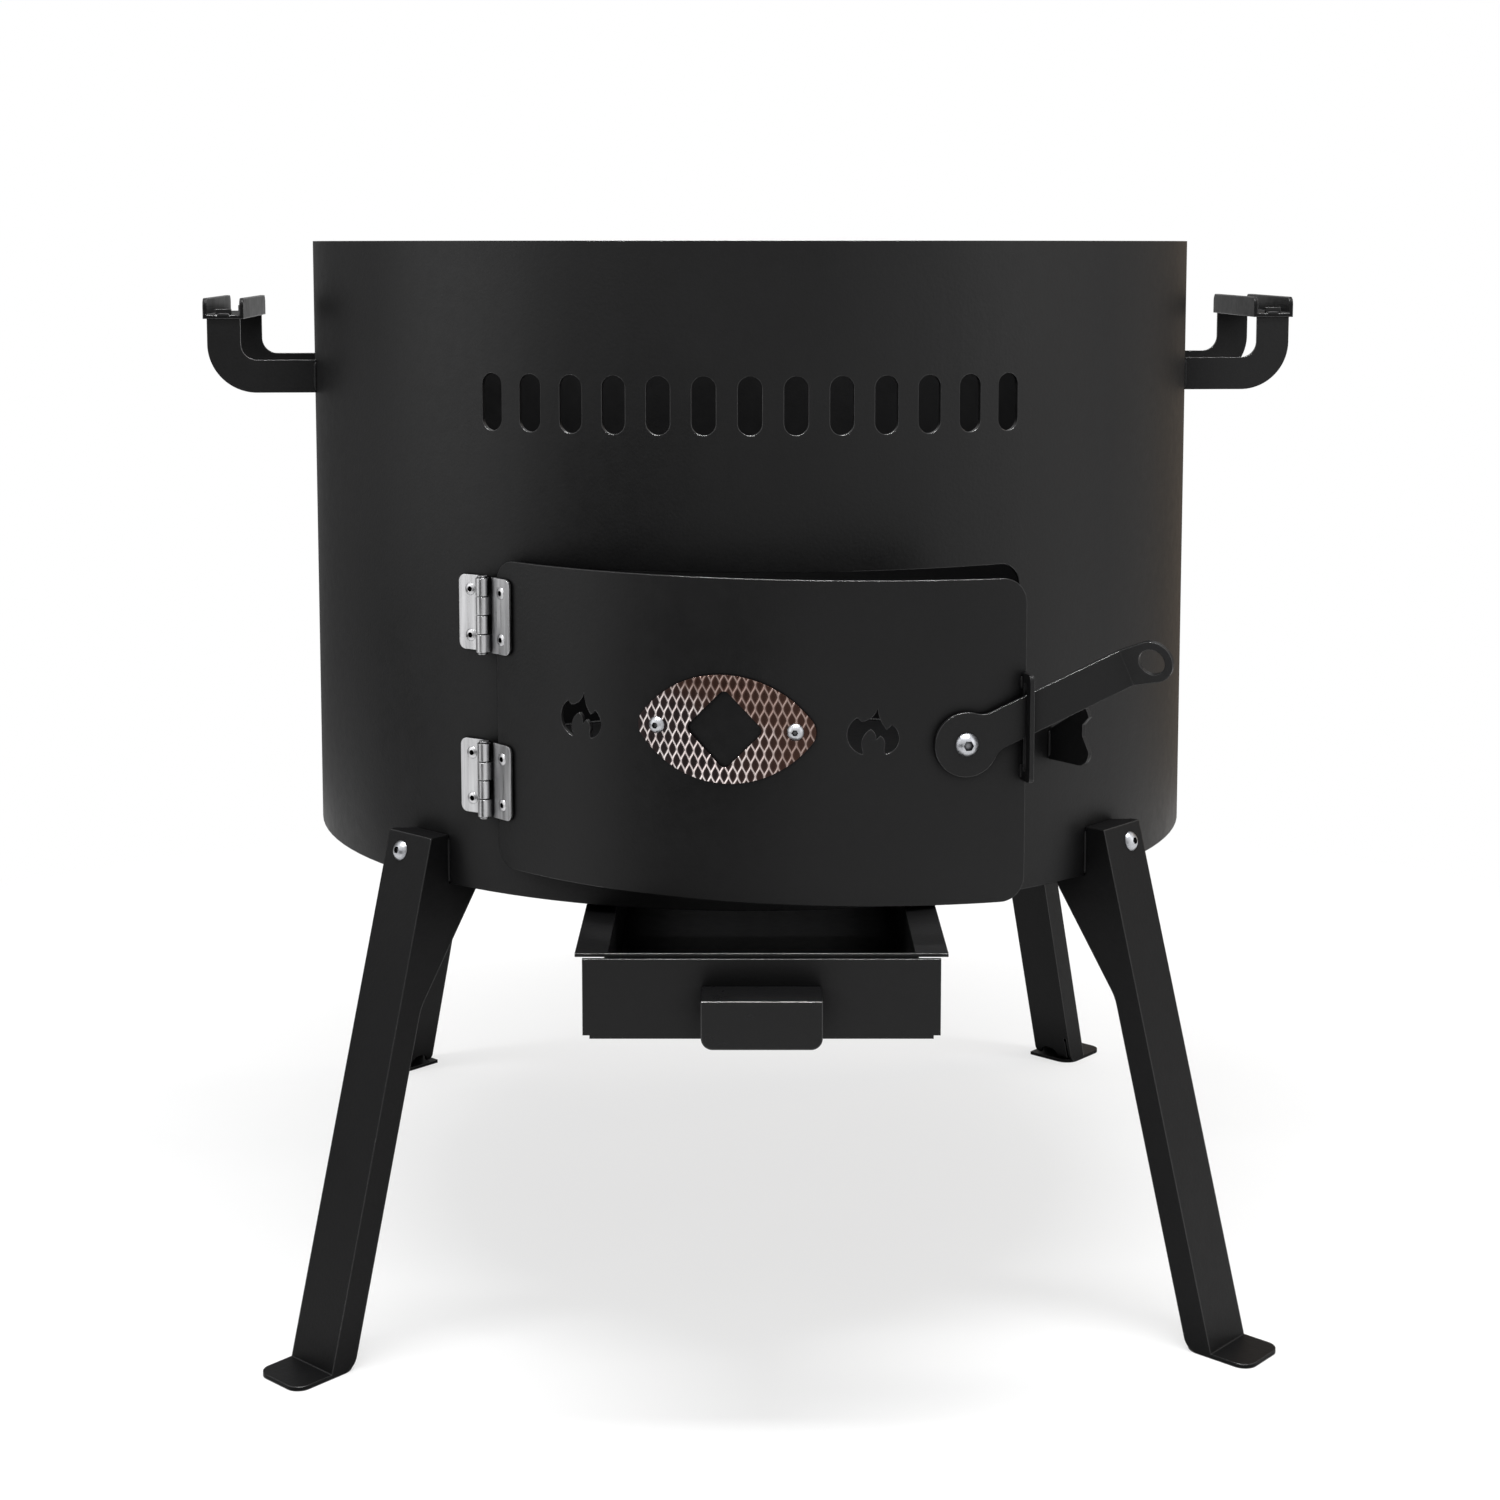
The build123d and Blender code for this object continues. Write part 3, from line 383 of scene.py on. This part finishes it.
def stainless_material():
    """Stainless steel brushed lengthways, with painted shade in its recesses."""
    tree = Tree("Brushed stainless steel")
    lines = tree.noise(420.0, 2.0, 0.6, tree.mapped(scale=(1, 1, 0.06)))
    colour = tree.mixed(tree.ranged(lines, 0, 1, 0.3, 0.7), rgb(0.46, 0.46, 0.47), rgb(0.7, 0.7, 0.71))
    # Painted shade: near black in recesses and beside neighbouring parts.
    colour = tree.mixed(tree.open_share(METAL_SHADE_REACH, 0.6, 0.97), rgb(0.02, 0.02, 0.022), colour)
    rough = tree.ranged(lines, 0.24, 0.4, 0.3, 0.7)
    normal = tree.bump(lines, 0.00003, 0.7, tree.rounded(0.00035))
    return tree.surface(Base_Color=colour, Metallic=1.0, Roughness=rough, Normal=normal)


def badge_material():
    """Satin stainless steel pressed with a net of upright lens shapes, with painted shade in its
    hollows and recesses that also makes it darker and browner up and right.
    """
    tree = Tree("Pressed stainless steel")
    middle = hung(DOOR_R, BADGE_AZIMUTH, BADGE_Z)
    turn = radians(BADGE_AZIMUTH - DOOR_AJAR)
    place = tree.mapped(shift=tuple(-c for c in turned(middle, -turn)), turn=(0, 0, -turn))
    apart = tree.add("ShaderNodeSeparateXYZ")
    tree.feed(apart.inputs[0], place)
    across = tree.math("DIVIDE", apart.outputs["X"], NET_WIDTH)
    up = tree.math("DIVIDE", apart.outputs["Z"], NET_HEIGHT)

    def lens(shift):
        """How far inside a lens a point lies. The whole 100 keeps the value positive."""
        u = tree.math("SUBTRACT", tree.math("FRACT", tree.math("ADD", across, 100 + shift)), 0.5)
        v = tree.math("SUBTRACT", tree.math("FRACT", tree.math("ADD", up, 100 + shift)), 0.5)
        wave = tree.math("COSINE", tree.math("MULTIPLY", v, 2 * pi))
        wave = tree.math("MULTIPLY", tree.math("ADD", wave, 1), 0.25)
        return tree.math("SUBTRACT", wave, tree.math("ABSOLUTE", u))

    reach = tree.math("MAXIMUM", lens(0.0), lens(0.5))
    hollow = tree.ranged(reach, 0.0, 1.0, 0.05, 0.13)
    height = tree.ranged(reach, 1.0, 0.0, 0.0, 0.25)
    cloud = tree.noise(130.0, 3.0)
    # Painted shade: the ribs and the hollows turn darker and browner towards the top and right.
    above = tree.math("MAXIMUM", apart.outputs["Z"], 0.0)
    slope = tree.math("MULTIPLY_ADD", above, 2.4, apart.outputs["X"])
    slope = tree.math("ADD", slope, tree.ranged(cloud, -0.012, 0.012))
    warm = tree.ranged(slope, 0.0, 1.0, -0.004, 0.03)
    rib = tree.mixed(tree.ranged(cloud, 0, 1, 0.3, 0.7), rgb(0.8, 0.68, 0.66), rgb(0.98, 0.91, 0.89))
    rib = tree.mixed(tree.math("MULTIPLY", warm, 0.85), rib, rgb(0.2, 0.12, 0.095))
    # Painted shade: the hollows and the recesses are near black.
    hollow_shade = tree.mixed(warm, rgb(0.04, 0.03, 0.03), rgb(0.06, 0.032, 0.025))
    colour = tree.mixed(tree.open_share(BADGE_SHADE_REACH, 0.5, 0.96), hollow_shade, tree.mixed(hollow, rib, hollow_shade))
    rough = tree.math("ADD", tree.ranged(hollow, 0.24, 0.42), tree.ranged(cloud, -0.04, 0.04, 0.3, 0.7))
    normal = tree.bump(height, 0.0006, 0.9, tree.rounded(0.0003))
    return tree.surface(Base_Color=colour, Metallic=1.0, Roughness=rough, Normal=normal)


def floor_material():
    """Pale studio floor that keeps the shadow and fades to plain white away from the stove."""
    tree = Tree("Pale studio floor")
    colour = tree.mixed(tree.noise(14.0, 4.0), rgb(0.84, 0.84, 0.84), rgb(0.88, 0.88, 0.88))
    matt = tree.surface(Base_Color=colour, Roughness=0.9, Specular_IOR_Level=0.1)
    apart = tree.add("ShaderNodeVectorMath", operation="LENGTH")
    tree.feed(apart.inputs[0], tree.place)
    plain = tree.ranged(apart.outputs["Value"], STAGE_WHITE_SHARE, 1.0, *STAGE_FADE)
    path = tree.add("ShaderNodeLightPath").outputs
    seen = tree.math("MAXIMUM", path["Is Camera Ray"],
                     tree.math("MAXIMUM", path["Is Glossy Ray"], path["Is Transmission Ray"]))
    white = tree.add("ShaderNodeEmission")
    white.inputs["Color"].default_value = rgb(1, 1, 1)
    white.inputs["Strength"].default_value = 1.0
    mix = tree.add("ShaderNodeMixShader")
    tree.feed(mix.inputs[0], tree.math("MULTIPLY", seen, plain))
    tree.links.new(tree.shader.outputs[0], mix.inputs[1])
    tree.links.new(white.outputs[0], mix.inputs[2])
    tree.links.new(mix.outputs[0], tree.nodes["Material Output"].inputs["Surface"])
    return matt


# Places

def polar(r, azimuth, z=0.0):
    """Point at a radius and azimuth, where 0 is the front and it grows towards +X."""
    return Vector((r * sin(radians(azimuth)), -r * cos(radians(azimuth)), z))


def turned(point, angle):
    """Point turned about the upright axis."""
    return Matrix.Rotation(angle, 3, "Z") @ Vector(point)


def hung(r, azimuth, z):
    """Point of the closed door, where the ajar door holds it."""
    axis = polar(HINGE_R, HINGE_AZIMUTH)
    return axis + turned(polar(r, azimuth, z) - axis, -radians(DOOR_AJAR))


def beside(azimuth, r, sideways, z):
    """Point on a radius at an azimuth, moved sideways towards a greater one."""
    a = radians(azimuth)
    return polar(r, azimuth, z) + Vector((cos(a), sin(a), 0)) * sideways


def wall_r(sideways):
    """How far out the drum's wall is on a line beside a radius."""
    return sqrt(DRUM_R**2 - sideways**2)


# Weld beads

def resampled(points, step):
    """Points a step apart along a path."""
    result = [points[0]]
    for a, b in zip(points, points[1:]):
        count = max(1, ceil((b - a).length / step))
        result += [a.lerp(b, (n + 1) / count) for n in range(count)]
    return result


def bead(name, paths, body, settings, material, scale=1.0):
    """Rippled weld beads along some paths, as one piece."""
    mesh = bpy.data.meshes.new(name)
    work = bmesh.new()
    sides = settings.bead.sides
    for points in paths:
        line = resampled(points, settings.bead.ripple / RIPPLE_RINGS)
        rings = []
        travelled = 0.0
        for n, point in enumerate(line):
            ahead = line[min(n + 1, len(line) - 1)] - line[max(n - 1, 0)]
            travelled += (point - line[n - 1]).length if n else 0.0
            wave = 1 + RIPPLE_SHARE * abs(sin(pi * travelled / settings.bead.ripple))
            end = min(n, len(line) - 1 - n)
            taper = sqrt(min(1.0, (end + 0.4) / TAPER_RINGS))
            radius = settings.bead.radius * scale * wave * taper
            frame_up = ahead.to_track_quat("Z", "Y").to_matrix()
            ring = []
            for k in range(sides):
                a = 2 * pi * k / sides
                ring.append(work.verts.new(point + frame_up @ Vector((cos(a), sin(a), 0)) * radius))
            rings.append(ring)
        for a, b in zip(rings, rings[1:]):
            for k in range(sides):
                work.faces.new((a[k], a[(k + 1) % sides], b[(k + 1) % sides], b[k]))
        work.faces.new(rings[0][::-1])
        work.faces.new(rings[-1])
    bmesh.ops.recalc_face_normals(work, faces=work.faces)
    work.to_mesh(mesh)
    work.free()
    mesh.polygons.foreach_set("use_smooth", [True] * len(mesh.polygons))
    mesh.materials.append(material)
    piece = bpy.data.objects.new(name, mesh)
    bpy.context.scene.collection.objects.link(piece)
    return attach(piece, body)


def handle_paths():
    """Beads down both faces of the four elbows where they meet the drum."""
    paths = []
    for side in (-1, 1):
        azimuth = HANDLE_TURN + 90 * side
        for edge in ELBOW_FACES:
            paths.append([beside(azimuth, wall_r(edge) + BEAD_LIFT, edge, z) for z in ELBOW_ENDS])
    return paths


def leg_paths():
    """Beads where each leg's side meets the drum's wall and its underside."""
    paths = []
    for turn, fold in LEG_PLACES:
        for edge in LEG_SIDE_FACES:
            sideways = fold * edge
            up = [beside(turn, wall_r(sideways) + BEAD_LIFT, sideways, z) for z in LEG_WALL_ENDS]
            under = [beside(turn, r, sideways, DRUM_LOW - BEAD_LIFT) for r in LEG_UNDER_ENDS]
            paths += [up, under]
    return paths


def seam_path():
    """Bead that lies low in the groove of the drum's seam."""
    return [[polar(DRUM_R - SEAM_SINK, SEAM_AZIMUTH, z) for z in SEAM_ENDS]]


def floor_ring():
    """Bead round the inside where the drum's floor meets its wall."""
    turns = [0.5 * n for n in range(1, 720)]
    return [[polar(DRUM_FLOOR_R, a, DRUM_FLOOR_Z) for a in turns]]


def keeper_paths():
    """Beads down both faces of the latch's keeper."""
    paths = []
    for sideways in PLATE_FACES:
        paths.append([beside(KEEPER_AZIMUTH, DRUM_R + BEAD_LIFT, sideways, z) for z in KEEPER_ENDS])
    return paths


def guide_paths():
    """Short tacks down both faces of the lever's guide."""
    paths = []
    for edge in PLATE_FACES:
        azimuth = GUIDE_AZIMUTH + degrees(edge / DOOR_R)
        for low in GUIDE_TACKS:
            paths.append([hung(DOOR_R + BEAD_LIFT, azimuth, z) for z in (low, low + GUIDE_TACK)])
    return paths


def drawer_paths():
    """Tacks that hold the drawer's front and pull."""
    paths = []
    for x in FRONT_TACKS_X:
        for low in FRONT_TACKS_Z:
            paths.append([Vector((x, FRONT_TACKS_Y, z)) for z in (low, low + FRONT_TACK)])
    for left in PULL_TACKS_X:
        ends = (left, left + PULL_TACK)
        paths.append([Vector((x, PULL_TACKS_Y, PULL_TACKS_Z)) for x in ends])
    return paths


def grip_paths():
    """Plug welds round the tabs on both grips."""
    paths = []
    for side in (-1, 1):
        azimuth = HANDLE_TURN + 90 * side
        for place in GRIP_TABS:
            for edge in PLATE_FACES:
                paths.append([beside(azimuth, r, place + edge, GRIP_TOP_Z) for r in GRIP_TAB_ENDS])
    return paths


# Operators

def settings_of(context):
    """The stove's own settings in a scene."""
    return context.scene.stove_looks


def paint(slot_name, material):
    """Gives a material to every CAD node of one slot."""
    for part in frame["record"]["subparts"]:
        if part["material_slot"] == slot_name:
            node = frame["nodes"][part["node"]]
            node.data.materials.clear()
            node.data.materials.append(material)


class STOVE_OT_coat(bpy.types.Operator):
    """Coats the drum, legs, handles, door and drawer"""
    bl_idname = "stove.coat"
    bl_label = "Black coat"

    def execute(self, context):
        settings = settings_of(context)
        paint("black_coat", coat_material(settings))
        folded = coat_material(settings, "Black coat on folds", rougher=0.02, edge=0.0011, shine=0.48)
        for name in ("leg_front_left", "leg_front_right", "leg_rear_right", "leg_rear_left",
                     "left_handle_grip", "right_handle_grip"):
            frame["nodes"][name].data.materials[0] = folded
        pull = coat_material(settings, "Black coat on the pull", rougher=-0.1, edge=0.0012)
        frame["nodes"]["drawer_pull"].data.materials[0] = pull
        return {"FINISHED"}


class STOVE_OT_fittings(bpy.types.Operator):
    """Gives the fasteners and hinges their bright metal"""
    bl_idname = "stove.fittings"
    bl_label = "Fasteners and hinges"

    def execute(self, context):
        paint("zinc_fastener", zinc_material())
        paint("hinge_stainless", stainless_material())
        return {"FINISHED"}


class STOVE_OT_badge(bpy.types.Operator):
    """Presses the pattern into the door's badge plate"""
    bl_idname = "stove.badge"
    bl_label = "Badge plate"

    def execute(self, context):
        paint("badge_stainless", badge_material())
        return {"FINISHED"}


class STOVE_OT_welds(bpy.types.Operator):
    """Lays weld beads along the joints of the sheets"""
    bl_idname = "stove.welds"
    bl_label = "Weld beads"

    def execute(self, context):
        settings = settings_of(context)
        material = coat_material(settings, "Black coat on welds", rougher=0.05, edge=0.0002)
        bead("handle_welds", handle_paths(), "stove", settings, material)
        bead("leg_welds", leg_paths(), "stove", settings, material, 0.6)
        bead("seam_weld", seam_path(), "stove", settings, material, 1.2)
        bead("floor_weld", floor_ring(), "stove", settings, material)
        bead("keeper_welds", keeper_paths(), "stove", settings, material, 0.8)
        bead("guide_tacks", guide_paths(), "door", settings, material, 0.7)
        bead("drawer_tacks", drawer_paths(), "drawer", settings, material, 0.8)
        bead("grip_welds", grip_paths(), "stove", settings, material, 0.8)
        return {"FINISHED"}


def area_light(name, place, aim, size, power, colour):
    """Rectangular light that faces a point and isn't seen itself."""
    data = bpy.data.lights.new(name, "AREA")
    data.shape = "RECTANGLE"
    data.size, data.size_y = size
    data.energy = power
    data.color = colour
    light = bpy.data.objects.new(name, data)
    light.location = place
    light.rotation_euler = (Vector(aim) - Vector(place)).to_track_quat("-Z", "Y").to_euler()
    light.visible_camera = False
    bpy.context.scene.collection.objects.link(light)


def sky(strength):
    """Even light all round, and plain white where the camera sees it."""
    world = bpy.data.worlds.new("Studio")
    world.use_nodes = True
    nodes, links = world.node_tree.nodes, world.node_tree.links
    out = nodes["World Output"]
    even = nodes["Background"]
    even.inputs["Color"].default_value = rgb(1, 1, 1)
    even.inputs["Strength"].default_value = strength
    white = nodes.new("ShaderNodeBackground")
    white.inputs["Color"].default_value = rgb(1, 1, 1)
    white.inputs["Strength"].default_value = 1.0
    path = nodes.new("ShaderNodeLightPath").outputs
    seen = path["Is Camera Ray"]
    for other in ("Is Glossy Ray", "Is Transmission Ray"):
        either = nodes.new("ShaderNodeMath")
        either.operation = "MAXIMUM"
        links.new(seen, either.inputs[0])
        links.new(path[other], either.inputs[1])
        seen = either.outputs[0]
    mix = nodes.new("ShaderNodeMixShader")
    links.new(seen, mix.inputs[0])
    links.new(even.outputs[0], mix.inputs[1])
    links.new(white.outputs[0], mix.inputs[2])
    links.new(mix.outputs[0], out.inputs["Surface"])
    bpy.context.scene.world = world


def flag(name, azimuth, distance, width, height, shade, colour=(1, 1, 1)):
    """Standing grey card that only glossy surfaces see."""
    half = width / 2
    mesh = bpy.data.meshes.new(name)
    corners = [(-half, 0, 0), (half, 0, 0), (half, 0, height), (-half, 0, height)]
    mesh.from_pydata(corners, [], [(0, 1, 2, 3)])
    tree = Tree(name.replace("_", " "))
    glow = tree.add("ShaderNodeEmission")
    glow.inputs["Color"].default_value = rgb(*colour)
    uneven = tree.ranged(tree.noise(3.0, 2.0), shade * 0.9, shade * 1.1, 0.3, 0.7)
    tree.feed(glow.inputs["Strength"], uneven)
    tree.links.new(glow.outputs[0], tree.nodes["Material Output"].inputs["Surface"])
    mesh.materials.append(tree.material)
    card = bpy.data.objects.new(name, mesh)
    card.location = polar(distance, azimuth)
    card.rotation_euler.z = radians(azimuth)
    card.visible_camera = False
    card.visible_diffuse = False
    card.visible_shadow = False
    card.visible_volume_scatter = False
    bpy.context.scene.collection.objects.link(card)


class STOVE_OT_studio(bpy.types.Operator):
    """Sets the floor, the lights and the camera"""
    bl_idname = "stove.studio"
    bl_label = "Studio"

    def execute(self, context):
        studio = settings_of(context).studio
        scene = context.scene
        mesh = bpy.data.meshes.new("studio_floor")
        half = STAGE_HALF
        corners = [(-half, -half, 0), (half, -half, 0), (half, half, 0), (-half, half, 0)]
        mesh.from_pydata(corners, [], [(0, 1, 2, 3)])
        mesh.materials.append(floor_material())
        floor = bpy.data.objects.new("studio_floor", mesh)
        floor.location.z = -STAGE_DROP
        scene.collection.objects.link(floor)
        sky(studio.sky)
        for values in FLAGS:
            flag(*values)
        for name, place, aim, size, setting, colour in LIGHTS:
            area_light(name, place, aim, size, getattr(studio, setting), colour)
        data = bpy.data.cameras.new("camera")
        data.lens = studio.lens
        data.sensor_width = 36
        data.shift_y = studio.shift
        data.clip_start = 0.05
        camera = bpy.data.objects.new("camera", data)
        camera.location = (0, -studio.distance, studio.eye)
        camera.rotation_euler = (pi / 2 - studio.pitch, 0, 0)
        scene.collection.objects.link(camera)
        scene.camera = camera
        scene.view_settings.view_transform = "Standard"
        return {"FINISHED"}


STEPS = (STOVE_OT_coat, STOVE_OT_fittings, STOVE_OT_badge, STOVE_OT_welds, STOVE_OT_studio)


class STOVE_PT_looks(bpy.types.Panel):
    """Settings and steps of the stove's looks"""
    bl_idname = "STOVE_PT_looks"
    bl_label = "Cauldron stove"
    bl_space_type = "VIEW_3D"
    bl_region_type = "UI"
    bl_category = "Stove"

    def draw(self, context):
        settings = settings_of(context)
        for group in (settings.coat, settings.bead, settings.studio):
            box = self.layout.box()
            box.label(text=group.bl_rna.description)
            for name in group.bl_rna.properties.keys():
                if name not in ("rna_type", "name"):
                    box.prop(group, name)
        for step in STEPS:
            self.layout.operator(step.bl_idname)


CLASSES = (StoveCoat, StoveBead, StoveStudio, StoveSettings, *STEPS, STOVE_PT_looks)


def register():
    for cls in CLASSES:
        bpy.utils.register_class(cls)
    bpy.types.Scene.stove_looks = PointerProperty(type=StoveSettings)


def unregister():
    del bpy.types.Scene.stove_looks
    for cls in reversed(CLASSES):
        bpy.utils.unregister_class(cls)


def main():
    register()
    bpy.ops.stove.coat()
    bpy.ops.stove.fittings()
    bpy.ops.stove.badge()
    bpy.ops.stove.welds()
    bpy.ops.stove.studio()


if __name__ == "__main__":
    main()
